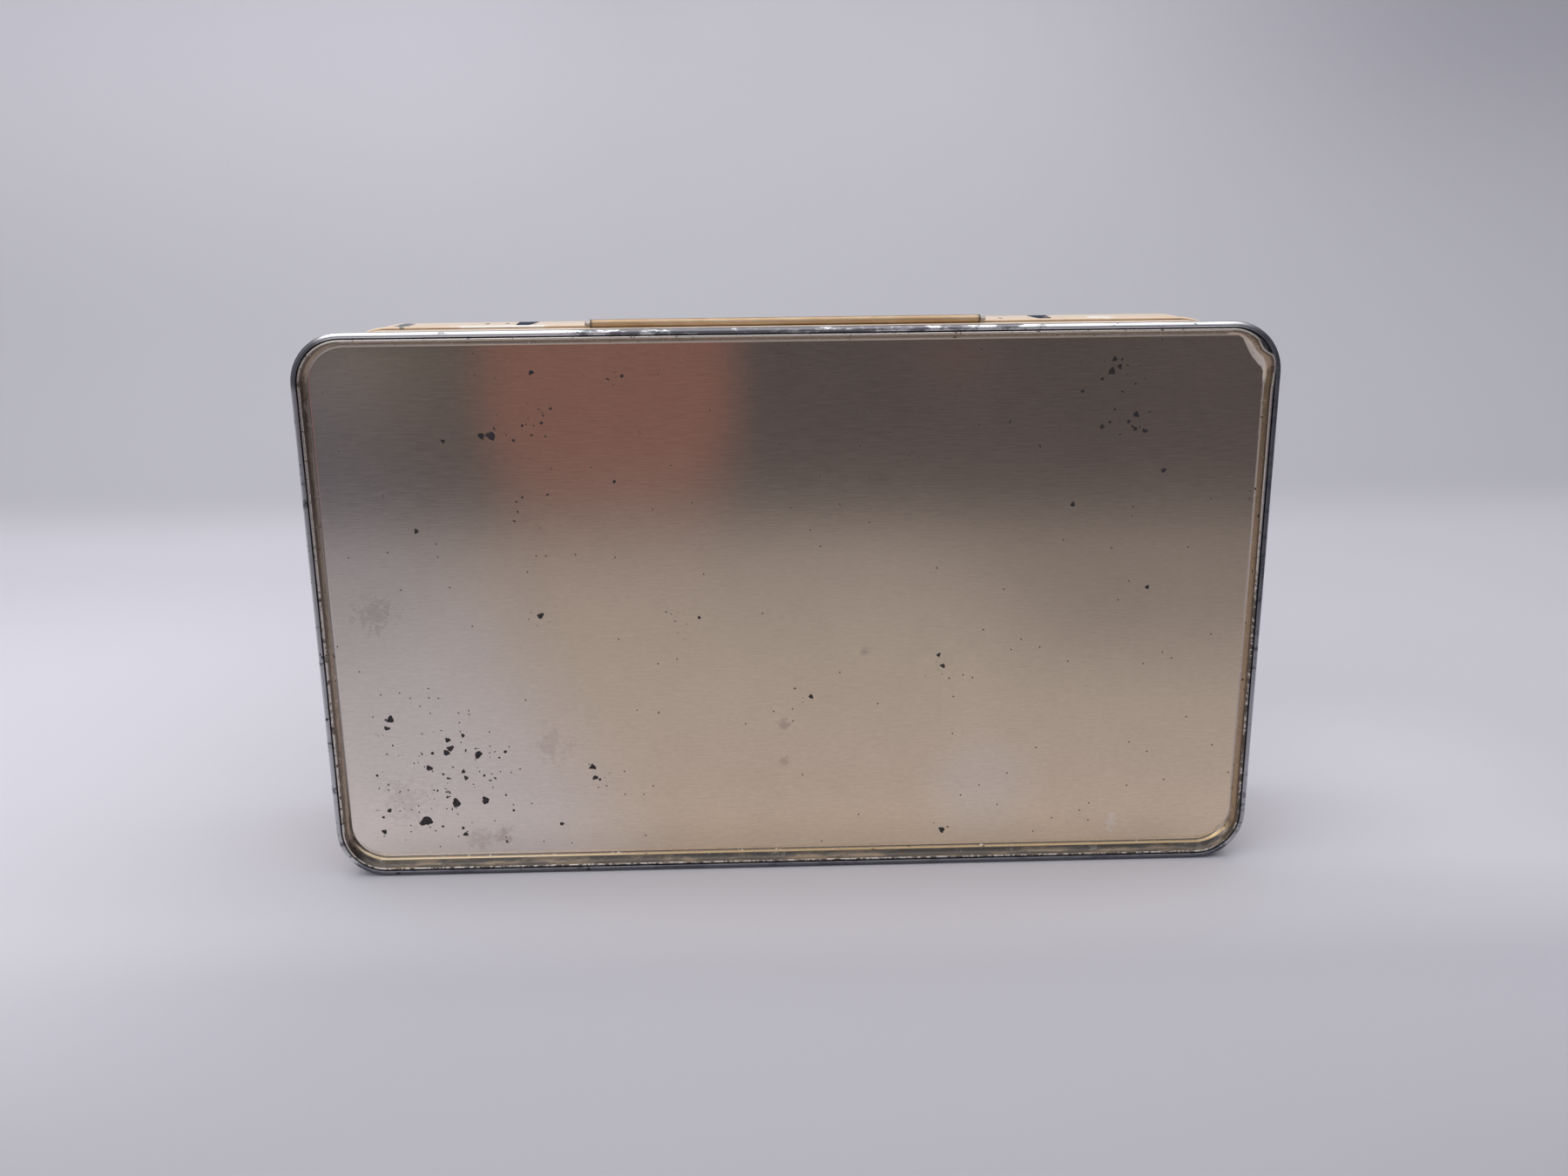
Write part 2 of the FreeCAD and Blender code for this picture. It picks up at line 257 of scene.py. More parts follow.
def add(tree, kind, inputs=None, **settings):
    """Adds a shader node with these settings and inputs."""
    made = tree.nodes.new("ShaderNode" + kind)
    for key, value in settings.items():
        setattr(made, key, value)
    fill(tree, made, inputs or {})
    return made


def greatest(first, *others):
    """The greatest of several shades."""
    for other in others:
        first = first.work("MAXIMUM", first, other)
    return first


def ramp(shade, low, high, start=0.0, end=1.0, kind="SMOOTHSTEP"):
    """Leads from start to end while the shade goes from low to high."""
    inputs = {"Value": shade, "From Min": low, "From Max": high, "To Min": start, "To Max": end}
    return Shade(add(shade.tree, "MapRange", inputs, interpolation_type=kind).outputs["Result"])


def noise(place, scale, stretch=(1, 1, 1), detail=3.0, roughness=0.55, shift=(0, 0, 0)):
    """Cloudy noise, its size given as lumps to a metre along each axis."""
    spread = add(place.tree, "Mapping", {"Vector": place, "Location": shift, "Scale": stretch}).outputs[0]
    inputs = {"Vector": spread, "Scale": scale, "Detail": detail, "Roughness": roughness}
    return Shade(add(place.tree, "TexNoise", inputs).outputs["Fac"])


def blend(factor, first, second):
    """A mixed colour: the first one where the factor is 0, and the second where it is 1."""
    first, second = (tone if isinstance(tone, Shade) else (*tone, 1.0) for tone in (first, second))
    return Shade(add(factor.tree, "Mix", {0: factor, 6: first, 7: second}, data_type="RGBA").outputs[2])


def axes(place):
    """The x, y and z of a place."""
    return [Shade(socket) for socket in add(place.tree, "SeparateXYZ", {0: place}).outputs]


def combine(*parts):
    """A vector from up to three parts, the first of which is a shade."""
    return Shade(add(parts[0].tree, "CombineXYZ", dict(enumerate(parts))).outputs[0])


def vectors(operation, first, second=(0, 0, 0)):
    """Works with vectors; a length or a distance comes out as a number."""
    made = add(first.tree, "VectorMath", {0: first, 1: second}, operation=operation)
    return Shade(made.outputs["Value" if operation in ("LENGTH", "DISTANCE") else "Vector"])


def blot(place, centre, radius, ragged):
    """A soft ragged blot on the plate: 1 in its middle, 0 outside; centre is x and z in mm."""
    apart = vectors("SUBTRACT", place, (centre[0] * MM, 0, centre[1] * MM))
    reach = vectors("LENGTH", vectors("MULTIPLY", apart, (1, 0, 1)))
    fray = noise(place, 700, detail=6, roughness=0.75)
    return ramp(reach / (radius * MM) + (fray - 0.5) * (2 * ragged), 1.0, 0.2)


def new_finish(name):
    """A new finish and the place on the object."""
    finish = bpy.data.materials.new(name)
    finish.use_nodes = True
    return finish, Shade(add(finish.node_tree, "TexCoord").outputs["Object"])


def coat(finish, inputs, height=None, strength=0.0, depth=0.0):
    """Sets the shader's inputs, and bumps the surface by the height's strength and depth in mm."""
    tree = finish.node_tree
    if height is not None:
        bump = add(tree, "Bump", {"Height": height, "Strength": strength, "Distance": depth * MM})
        inputs["Normal"] = bump.outputs[0]
    fill(tree, tree.nodes["Principled BSDF"], inputs)
    return finish


# ---------------------------------------------------------------- the tin's finishes

# Stains on the plate: middle as x and z, radius, raggedness and strength.
STAINS = (((-89, 60), 4.5, 2.4, 0.36), ((-53, 29.5), 4.5, 3.0, 0.17), ((-70, 7), 3.6, 2.0, 0.24),
          ((-65, 8), 2.4, 2.6, 0.34), ((-86, 17), 6.0, 2.8, 0.15), ((-2, 33), 1.8, 1.8, 0.3),
          ((16, 49.5), 1.4, 1.6, 0.25), ((-2, 24.5), 1.4, 1.8, 0.3))


def gold_lacquer():
    """Satin gold lacquer on rolled tinplate, thinner and silvery towards the low left."""
    finish, place = new_finish("gold_lacquer")
    x, _, z = axes(place)
    drift = (noise(place, 22) - 0.5) * 0.03
    silver = ramp(x + z * 0.42 + drift, -20 * MM, -62 * MM)
    thin = greatest(silver, blot(place, (42, 17), 17, 0.35) * 0.45)
    colour = blend(thin, (0.79, 0.64, 0.475), (0.82, 0.735, 0.66))

    grain = noise(place, 1.0, (190, 1, 3600), detail=4, roughness=0.7)
    cloud = noise(place, 45, detail=4)
    fine = noise(place, 1.0, (700, 1, 2300), detail=2)
    tone = ramp(grain, 0.25, 0.75, 0.91, 1.08, "LINEAR") * ramp(cloud, 0.3, 0.7, 0.97, 1.03, "LINEAR")
    tone = tone * ramp(fine, 0.3, 0.7, 0.955, 1.045, "LINEAR")
    colour = vectors("MULTIPLY", colour, combine(tone, tone, tone))

    stain = greatest(*(blot(place, *where) * strength for *where, strength in STAINS))
    colour = blend(stain, colour, (0.33, 0.26, 0.24))
    chalk = blot(place, (72, 8.5), 2.2, 3.2) * 0.28
    colour = blend(chalk, colour, (0.95, 0.95, 0.97))

    flat = combine(x, z)
    cells = add(finish.node_tree, "TexVoronoi", {"Vector": flat, "Scale": 480.0}, voronoi_dimensions="2D")
    crowd = ramp(vectors("DISTANCE", flat, (-78 * MM, 20 * MM, 0)), 30 * MM, 6 * MM)
    lot = Shade(add(finish.node_tree, "SeparateColor", {0: cells.outputs["Color"]}).outputs[0])
    dust = ramp(Shade(cells.outputs["Distance"]), 0.10, 0.06) * (crowd * 0.16 + lot > 0.975)
    colour = blend(dust, colour, (0.09, 0.07, 0.07))

    upright = add(finish.node_tree, "CombineXYZ", {2: 1.0}).outputs[0]
    roughness = grain * 0.05 + 0.10 + greatest(stain, dust) * 0.4
    return coat(finish, {"Base Color": colour, "Metallic": 1.0, "Roughness": roughness, "Anisotropic": 0.85,
                         "Tangent": upright}, grain, 0.14, 0.02)


def pressed_gold():
    """The same lacquer where the plate is drawn down: browner, rubbed and flecked, with painted shade and painted
    highlights on the low side and at the panel's edge.
    """
    finish, place = new_finish("pressed_gold")
    x, y, z = axes(place)
    sunk = y - FRONT
    flecks = noise(place, 420, detail=6, roughness=0.7)
    streaks = noise(place, 300, (0.3, 2.5, 0.3), detail=5, roughness=0.7, shift=(1, 2, 3))
    deep = ramp(sunk, 1.0 * MM, 1.9 * MM) * ramp(streaks, 0.36, 0.50)
    colour = blend(deep, (0.21, 0.175, 0.15), (0.49, 0.425, 0.36))
    right = ramp(x, 94 * MM, 98 * MM) * ramp(sunk, 0.7 * MM, 1.2 * MM)
    colour = blend(right * 0.75, colour, (0.56, 0.485, 0.42))

    # The low side: painted shade near the lip, streaked, and a painted highlight, a bright gold line at the step
    # behind it.
    lowest = ramp(z, 7.5 * MM, 4.5 * MM)
    low = lowest * ramp(sunk, 1.75 * MM, 1.35 * MM)
    lip_shade = blend(ramp(streaks, 0.38, 0.54), (0.19, 0.15, 0.115), (0.085, 0.075, 0.068))
    colour = blend(low, colour, lip_shade)
    painted_gold_highlight = lowest * ramp(sunk, 1.5 * MM, 1.8 * MM)
    colour = blend(painted_gold_highlight, colour, (1.0, 0.87, 0.64))

    # The fillet at the panel's edge: painted shade, darkest on the low side, and a painted highlight on the right.
    fillet_shade_and_highlight = blend(ramp(z, 8 * MM, 30 * MM), (0.16, 0.125, 0.10), (0.38, 0.335, 0.30))
    fillet_shade_and_highlight = blend(right, fillet_shade_and_highlight, (0.60, 0.52, 0.45))
    colour = blend(ramp(sunk, 2.5 * MM, 2.85 * MM), colour, fillet_shade_and_highlight)
    struck = ramp(x, 90 * MM, 91.5 * MM) * ramp(z, 106.5 * MM, 108 * MM) * ramp(sunk, 2.30 * MM, 2.42 * MM)
    colour = blend(struck, colour, (0.88, 0.79, 0.70))

    rubbed = ramp(flecks, 0.58, 0.68) * 0.6 * (1.0 - low * 0.8)
    colour = blend(rubbed, colour, (0.74, 0.68, 0.60))
    pits = ramp(noise(place, 800, detail=3, shift=(3, 5, 7)), 0.66, 0.70)
    colour = blend(pits, colour, (0.10, 0.07, 0.05))
    roughness = flecks * 0.25 + 0.12 + struck * 0.35
    return coat(finish, {"Base Color": colour, "Metallic": 1.0, "Roughness": roughness}, flecks, 0.25, 0.05)


def bare_edge():
    """Worn tin on the plate's folded lip: bright on its crest, with brown nicks, and clean along the top."""
    finish, place = new_finish("bare_edge")
    x, _, z = axes(place)
    worn_right = ramp(x, 94 * MM, 99 * MM) * ramp(z, 55 * MM, 80 * MM, 0.10, -0.07)
    low = ramp(z, 6 * MM, 3 * MM) * 0.06
    wear = noise(place, 900, detail=5, roughness=0.75) + (worn_right + low)
    wear = wear + ramp(z, 113 * MM, 116 * MM, 0.0, -0.055)
    nicks = ramp(wear, 0.52, 0.60)
    colour = blend(nicks, (0.70, 0.64, 0.59), (0.15, 0.125, 0.11))
    return coat(finish, {"Base Color": colour, "Metallic": 1.0, "Roughness": nicks * 0.3 + 0.25},
                nicks, 0.4, -0.05)


def packed_grime():
    """Dark grime in the narrow groove of the seam."""
    finish, place = new_finish("packed_grime")
    crumbs = noise(place, 900, detail=4)
    colour = blend(ramp(crumbs, 0.45, 0.7), (0.030, 0.028, 0.032), (0.12, 0.105, 0.10))
    return coat(finish, {"Base Color": colour, "Metallic": 0.3, "Roughness": 0.7}, crumbs, 0.8, 0.1)


def worn_tin():
    """The folded seam: bright tin with dark patina, rubbed through in the middle of the hinge side."""
    finish, place = new_finish("worn_tin")
    x, _, z = axes(place)
    mottle = noise(place, 330, (0.35, 1, 1), detail=7, roughness=0.75)
    middle = ramp(abs(x), 62 * MM, 28 * MM) * ramp(z, 110 * MM, 116 * MM)
    right = ramp(x, 88.5 * MM, 96.5 * MM) * ramp(z, 35 * MM, 70 * MM, 0.6, 1.0)
    left = ramp(x, -97.5 * MM, -100.5 * MM) * 0.5
    low = ramp(z, 4.5 * MM, 2.5 * MM)
    amount = mottle + middle * 0.17 + right * 0.12 + greatest(low, left) * 0.14
    top_left = ramp(x, -92.5 * MM, -96.5 * MM) * ramp(z, 105.5 * MM, 110 * MM)
    dark = greatest(right, top_left)
    patina = greatest(ramp(amount, 0.58, 0.68), greatest(dark, low, left) * 0.93)
    darkest = blend(greatest(dark, low), (0.20, 0.195, 0.21), (0.115, 0.115, 0.135))
    colour = blend(patina, (0.80, 0.80, 0.81), darkest)
    flaws = noise(place, 700, detail=3, shift=(2, 1, 4)) + left * 0.10
    chips = ramp(flaws, 0.70, 0.73) * (1.0 - dark * 0.8)
    colour = blend(chips, colour, (0.05, 0.045, 0.045))
    return coat(finish, {"Base Color": colour, "Metallic": 1.0, "Roughness": patina * 0.25 + 0.20},
                mottle, 0.3, 0.06)


# Marks on the lid's top side: x, half length, y, half depth and raggedness.
# The pale marks: a patch on the skirt that is partly rubbed paint and partly a painted highlight, and a painted
# highlight along the rolled edge.
PALE_RUBS_AND_HIGHLIGHTS = ((71.5, 3.2, 10, 4.5, 0.8), (-63, 11, 5.4, 0.7, 0.5))
BRUISED = ((-86, 1.7, 14, 5.5, 1.4), (-84.5, 0.9, 8, 3, 1.6), (-67.5, 0.5, 15, 2, 0.8),
           (-63, 0.45, 15, 1.5, 0.8), (-56, 0.5, 9, 1.5, 0.8), (49, 0.4, 12, 2, 0.8))


def cream_paint(name, lid=False):
    """Old cream enamel with rubbed edges and small chips down to the tin; the lid's has print and marks."""
    finish, place = new_finish(name)
    aged = noise(place, 24, detail=6, roughness=0.6)
    colour = blend(ramp(aged, 0.30, 0.75), (0.80, 0.655, 0.505), (0.755, 0.595, 0.44))
    grubby = noise(place, 140, (1, 1, 0.5), detail=7, roughness=0.75, shift=(4, 1, 2))
    colour = blend(ramp(grubby, 0.52, 0.72) * 0.22, colour, (0.42, 0.30, 0.20))
    chips = ramp(noise(place, 300, detail=6, roughness=0.7), 0.70, 0.72)
    dull = chips * 0.3 + 0.34
    if lid:
        printed = border_print(*axes(place))
        colour = lid_wear(place, colour, printed)
        dull = dull + printed * 0.45
    colour = blend(chips, colour, (0.17, 0.16, 0.18))
    fine = noise(place, 900, detail=3)
    return coat(finish, {"Base Color": colour, "Roughness": dull, "Specular IOR Level": 0.2},
                fine - chips * 2.0, 0.25, 0.03)


def border_print(x, y, z):
    """A plain dark-blue line round the lid and four narrow tongues that run over its edge."""
    # The line bends round points this far in from the tin's outline, at this radius.
    heart, bend = 14 * MM, 6.5 * MM
    side, up = abs(x), abs(z - MIDDLE)
    across = side - (HALF_WIDTH - heart)
    above = up - (HALF_HEIGHT - heart)
    corner = (greatest(across, 0.0) ** 2.0 + greatest(above, 0.0) ** 2.0) ** 0.5
    straight = greatest(across, above)
    reach = corner + straight.work("MINIMUM", straight, 0.0)
    line = 1.0 - ramp(abs(reach - bend), 0.9 * MM, 1.1 * MM)
    line = line * (y > LID_HIGH.y - 1.2 * MM)
    off = (side - 58.7 * MM) / (2.3 * MM)
    along = (LID_HIGH.y - y) / (16 * MM)
    tongue = ramp(abs(off) ** 2.0 + along ** 2.0, 1.05, 0.95) * (up > HALF_HEIGHT - 8 * MM)
    return greatest(line, tongue)


def lid_wear(place, colour, printed):
    """The lid's colour with its print, pale marks that are rubbed paint and painted highlights, bruised marks,
    worn rim and fine scratches.
    """
    _, y, _ = axes(place)
    colour = blend(lid_marks(place, PALE_RUBS_AND_HIGHLIGHTS), colour, (0.93, 0.91, 0.88))
    colour = blend(printed, colour, (0.022, 0.027, 0.045))
    colour = blend(lid_marks(place, BRUISED), colour, (0.06, 0.075, 0.10))
    top = LID_HIGH.y
    rim = ramp(y, top - 2.4 * MM, top - 1.5 * MM) * ramp(y, top - 0.65 * MM, top - 1.0 * MM)
    worn = noise(place, 210, detail=7, roughness=0.7, shift=(7, 3, 1)) + rim * 0.10
    colour = blend(ramp(worn, 0.68, 0.70), colour, (0.30, 0.29, 0.29))
    scratch = noise(place, 1.0, (60, 60, 1400), detail=3, roughness=0.8, shift=(2, 8, 3))
    return blend(ramp(scratch, 0.70, 0.74) * 0.35, colour, (0.93, 0.88, 0.80))


def lid_marks(place, marks):
    """Ragged marks on the lid's hinge side."""
    x, y, z = axes(place)
    flat = combine(x, y)
    fray = noise(flat, 900, detail=4, roughness=0.7) - 0.5
    drawn = []
    for across, half_length, along, half_depth, ragged in marks:
        apart = vectors("SUBTRACT", flat, (across * MM, along * MM, 0))
        apart = vectors("MULTIPLY", apart, (1 / (half_length * MM), 1 / (half_depth * MM), 0))
        drawn.append(ramp(vectors("LENGTH", apart) + fray * (2 * ragged), 1.05, 0.9))
    return greatest(*drawn) * (z > MIDDLE)


def hinge_gold():
    """Gold-lacquered strip of the hinge, rubbed and slightly tarnished, with dark ends."""
    finish, place = new_finish("hinge_gold")
    rub = noise(place, 250, (0.2, 1, 1), detail=6, roughness=0.7)
    colour = blend(ramp(rub, 0.4, 0.65), (0.40, 0.275, 0.165), (0.50, 0.39, 0.28))
    ends = ramp(abs(axes(place)[0]), 42.2 * MM, 43 * MM) * ramp(rub, 0.42, 0.5)
    colour = blend(ends, colour, (0.06, 0.06, 0.05))
    return coat(finish, {"Base Color": colour, "Metallic": 1.0, "Roughness": rub * 0.2 + 0.35}, rub, 0.2, 0.04)


def dull_wire():
    """Steel hinge wire with brown rust."""
    finish, place = new_finish("dull_wire")
    rust = noise(place, 700, detail=5)
    colour = blend(ramp(rust, 0.45, 0.6), (0.42, 0.40, 0.38), (0.16, 0.09, 0.05))
    return coat(finish, {"Base Color": colour, "Metallic": 0.9, "Roughness": rust * 0.4 + 0.25}, rust, 0.4, 0.05)


def black_rust():
    """The dark crust of a rust speck."""
    finish, place = new_finish("black_rust")
    crust = noise(place, 1800, detail=5)
    colour = blend(ramp(crust, 0.4, 0.65), (0.042, 0.040, 0.045), (0.080, 0.064, 0.060))
    return coat(finish, {"Base Color": colour, "Metallic": 0.6, "Roughness": 0.65, "Specular IOR Level": 0.25},
                crust, 0.5, 0.05)


# ---------------------------------------------------------------- the tin

# Profiles of the bent sheets: each bend's inset from the tin's outline and how far back it lies, in millimetres.
CRIMP_FRONT = ((0.05, 1.0), (0.07, 0.76), (0.14, 0.53), (0.25, 0.34), (0.4, 0.19), (0.58, 0.09), (0.78, 0.06),
               (0.95, 0.08), (1.09, 0.16), (1.19, 0.3), (1.25, 0.5), (1.26, 0.9))
CRIMP_BACK = ((0.05, 1.0), (0.05, 1.7), (0.08, 2.2), (0.16, 2.6), (0.3, 2.85), (0.55, 2.97), (1.1, 3.03),
              (1.9, 3.06), (2.9, 3.1), (2.95, 3.8))
PLATE = ((1.2, 0.8), (1.28, 0.76), (1.36, 0.7), (1.4, 0.55), (1.43, 0.38), (1.49, 0.24), (1.6, 0.16),
         (1.74, 0.17), (1.86, 0.25), (1.98, 0.42), (2.08, 0.68), (2.18, 1.05), (2.28, 1.5), (2.38, 1.95),
         (2.48, 2.36), (2.58, 2.66), (2.72, 2.88), (2.92, 2.98), (3.3, 3.0))
LID_ROLL = ((0.85, 27.55), (0.88, 27.3), (0.98, 27.1), (1.1, 27.01), (1.25, 27.03), (1.36, 27.18), (1.4, 27.5))
LID_SHELL = ((0.85, 27.55), (0.88, 27.8), (0.97, 28.0), (1.1, 28.15), (1.1, 31), (1.1, 34.5), (1.1, 38),
             (1.1, 41.9), (1.15, 42.29), (1.3, 42.65), (1.54, 42.96), (1.85, 43.2), (2.21, 43.35),
             (2.6, 43.4), (5, 43.4), (8, 43.4))
LID_PANEL = ((10.1, 43.4), (10.2, 43.43), (10.4, 43.55), (10.62, 43.72), (10.85, 43.87), (11.1, 43.96),
             (11.5, 44.0))

# The side wall's inset, where it starts and the lengths in which it is drawn back.
WALL_INSET, WALL_START = 1.5, 3.65
WALL_LENGTHS = (4, 5, 6, 6, 6, 6, 5.3)

# How far in the plate's groove, its lip and its drawn wall reach; the panel lies inside them.
GROOVE_END, LIP_END, WALL_END = 1.46, 1.92, 2.95

# Rings of the drawn wall, as their insets from and to, and how far the press has lifted each along the low side.
LOW_LIFTS = ((2.12, 2.33, 0.15), (2.33, 2.53, 0.32), (2.53, 90, 0.55))

# The blow on the upper right corner: degrees round the corner from the top, then how far the lip and the panel's
# edge are pushed in there, in millimetres; a minus sign means that the metal has sprung out.
CREASES = ((0, 0.0, 0.0), (7.5, 0.0, -0.1), (15, 0.0, -0.3), (22.5, 0.05, 0.0), (30, 0.1, 0.75),
           (37.5, 0.2, 1.2), (45, 0.6, 1.5), (52.5, 0.8, 1.65), (60, 0.5, 1.6), (67.5, -0.4, 1.4),
           (75, -0.5, 1.05), (82.5, -0.4, 0.3), (90, -0.25, 0.0))
# Rings of the struck corner: their insets from and to, their share in the push on the lip and in the push on the
# panel's edge, and how far back they sink where the lip is pushed hard.
DENT_RINGS = ((1.42, 1.65, 0.9, 0, 0.15), (1.65, 2.12, 1, 0, 0.15), (2.12, 2.33, 0.8, 0.1, 0),
              (2.33, 2.53, 0.5, 0.25, 0), (2.53, 2.65, 0, 0.5, 0), (2.65, 2.8, 0, 0.75, 0), (2.8, 3.4, 0, 1, 0))
HARD_PUSH = 0.3


def seam_crimp():
    """The body's edge folded round the plate."""
    front = rounded_sheet("seam_crimp", *CRIMP_FRONT[0])
    press(CRIMP_FRONT)
    open_middle()
    close()
    rear = rounded_sheet("seam_rear", *CRIMP_BACK[0], facing=1)
    press(CRIMP_BACK, facing=1)
    open_middle()
    ring = join("seam_crimp", front, rear)
    pick(ring, "EDGE", lambda edge: edge.is_boundary)
    bpy.ops.mesh.bridge_edge_loops()
    return ring


def side_wall():
    """The painted wall between the seam and the lid, drawn back in a few lengths."""
    wall = rounded_sheet("side_wall", WALL_INSET, WALL_START, corner=WALL_CORNER)
    for length in WALL_LENGTHS:
        bpy.ops.mesh.extrude_region_move(TRANSFORM_OT_translate={"value": (0, length * MM, 0)})
    return wall


def base_plate(*finishes):
    """The sunk plate; its finishes are those of the panel, the drawn wall, the lip and the groove."""
    plate = rounded_sheet("pressed_plate", *PLATE[0])
    press(PLATE)
    close()
    give(plate, *finishes)
    for face in plate.data.polygons:
        inset = drawn_in(face.center)
        face.material_index = 3 if inset < GROOVE_END else 2 if inset < LIP_END else 1 if inset < WALL_END else 0
    bpy.ops.object.mode_set(mode="EDIT")
    low_step(plate)
    dent_corner(plate)
    thicken(plate, SHEET_GAUGE)
    return plate


def low_step(plate):
    """Lifts the panel's low edge and leaves the small step that the press made below it."""
    for near, far, lift in LOW_LIFTS:
        span = HALF_HEIGHT - near * MM
        pick(plate, "VERT", lambda point: near <= drawn_in(point.co) < far and point.co.z < MIDDLE - 1 * MM)
        bpy.ops.transform.resize(value=(1, 1, 1 - lift * MM / span), center_override=(0, 0, MIDDLE))
    pick(plate, "VERT", lambda point: 1.9 < back_of(point.co) < 2.4 and point.co.z < 6 * MM)
    bpy.ops.transform.translate(value=(0, -0.22 * MM, 0))


def dent_corner(plate):
    """Pushes the lip and the drawn wall in at the struck corner."""
    heart = Vector((HALF_WIDTH - SEAM_CORNER, 0, MIDDLE + HALF_HEIGHT - SEAM_CORNER))
    pushes = []
    points = bmesh.from_edit_mesh(plate.data).verts
    points.index_update()
    for degrees, lip_push, edge_push in CREASES:
        turn = math.radians(degrees)
        inward = Vector((-math.sin(turn), 0, -math.cos(turn)))
        for near, far, lip_share, edge_share, sink in DENT_RINGS:
            chosen = {point.index for point in points if near <= drawn_in(point.co) < far and
                      point.co.x > heart.x - 0.1 * MM and point.co.z > heart.z - 0.1 * MM and
                      abs(math.atan2(point.co.x - heart.x, point.co.z - heart.z) - turn) < math.radians(3)}
            back = sink if lip_push > HARD_PUSH else 0
            push = lip_share * lip_push + edge_share * edge_push
            pushes.append((chosen, inward * push * MM + Vector((0, back * MM, 0))))
    for chosen, push in pushes:
        if chosen and pick(plate, "VERT", lambda point: point.index in chosen):
            bpy.ops.transform.translate(value=push)


def lid_shell():
    """The lid with its rolled edge, rounded rim and raised panel."""
    shell = rounded_sheet("lid_shell", *LID_SHELL[0], facing=1, corner=LID_CORNER, steps=LID_STEPS)
    press(LID_SHELL, facing=1)
    open_middle()
    close()
    roll = rounded_sheet("lid_roll", *LID_ROLL[0], corner=LID_CORNER, steps=LID_STEPS)
    press(LID_ROLL)
    open_middle()
    shell = join("lid_shell", shell, roll)
    close()
    panel = rounded_sheet("lid_panel", *LID_PANEL[0], facing=1, corner=PANEL_CORNER, steps=LID_STEPS)
    press(LID_PANEL, facing=1)
    shell = join("lid_shell", shell, panel)
    pick(shell, "EDGE", lambda edge: edge.is_boundary and back_of(edge.verts[0].co) > 43)
    bpy.ops.mesh.bridge_edge_loops()
    thicken(shell, SHEET_GAUGE)
    return shell


def thumb_lip():
    """The small lip under the lid's front edge that a thumb lifts."""
    clear()
    length, foot_length, gauge, drop = 36 * MM, 28 * MM, 1 * MM, 1.5 * MM
    centre = (0, LID_LOW.y + gauge / 2, drop / 2)
    bpy.ops.mesh.primitive_cube_add(size=1, location=centre)
    lip = begin("thumb_lip", (length, gauge, drop))
    pick(lip, "EDGE", lambda edge: edge.calc_length() > 30 * MM)
    bpy.ops.mesh.subdivide(number_cuts=9)
    pick(lip, "FACE", lambda face: face.normal.z < -0.9)
    bpy.ops.transform.resize(value=(foot_length / length, 0.6, 1), center_override=(0, centre[1], 0))
    pick(lip, "EDGE", lambda edge: edge.calc_face_angle(0) > math.radians(50))
    bpy.ops.mesh.bevel(offset=0.18 * MM, segments=3)
    return lip


def hinge_roll():
    """The hinge strip: a leaf on the lid rolled round the wire."""
    clear()
    gauge = 0.3 * MM
    centre = Vector((0, (WIRE_LOW.y + WIRE_HIGH.y) / 2, (WIRE_LOW.z + WIRE_HIGH.z) / 2))
    radius = KNUCKLE_HIGH.z - centre.z - gauge / 2
    bpy.ops.mesh.primitive_plane_add(
        size=1, location=(0, (centre.y + KNUCKLE_HIGH.y) / 2, centre.z - radius))
    strip = begin("hinge_roll", (KNUCKLE_HIGH.x - KNUCKLE_LOW.x, KNUCKLE_HIGH.y - centre.y, 1))
    pick(strip, "EDGE", lambda edge: edge.calc_length() > 50 * MM)
    bpy.ops.mesh.subdivide(number_cuts=40)
    pick(strip, "EDGE", lambda edge: all(abs(point.co.y - centre.y) < 0.01 * MM for point in edge.verts))
    bpy.ops.mesh.spin(steps=22, angle=math.radians(325), center=centre, axis=(1, 0, 0))
    thicken(strip, gauge / MM, 0)
    return strip


def hinge_wire():
    """The wire through the hinge, its cut ends slightly rounded."""
    clear()
    bpy.ops.mesh.primitive_cylinder_add(
        vertices=20, radius=(WIRE_HIGH.z - WIRE_LOW.z) / 2, depth=WIRE_HIGH.x - WIRE_LOW.x,
        location=(0, (WIRE_LOW.y + WIRE_HIGH.y) / 2, (WIRE_LOW.z + WIRE_HIGH.z) / 2),
        rotation=(0, math.pi / 2, 0))
    wire = begin("hinge_wire_rod")
    pick(wire, "EDGE", lambda edge: abs(edge.verts[0].co.x - edge.verts[1].co.x) < 1 * MM)
    bpy.ops.mesh.bevel(offset=0.14 * MM, segments=3)
    return wire


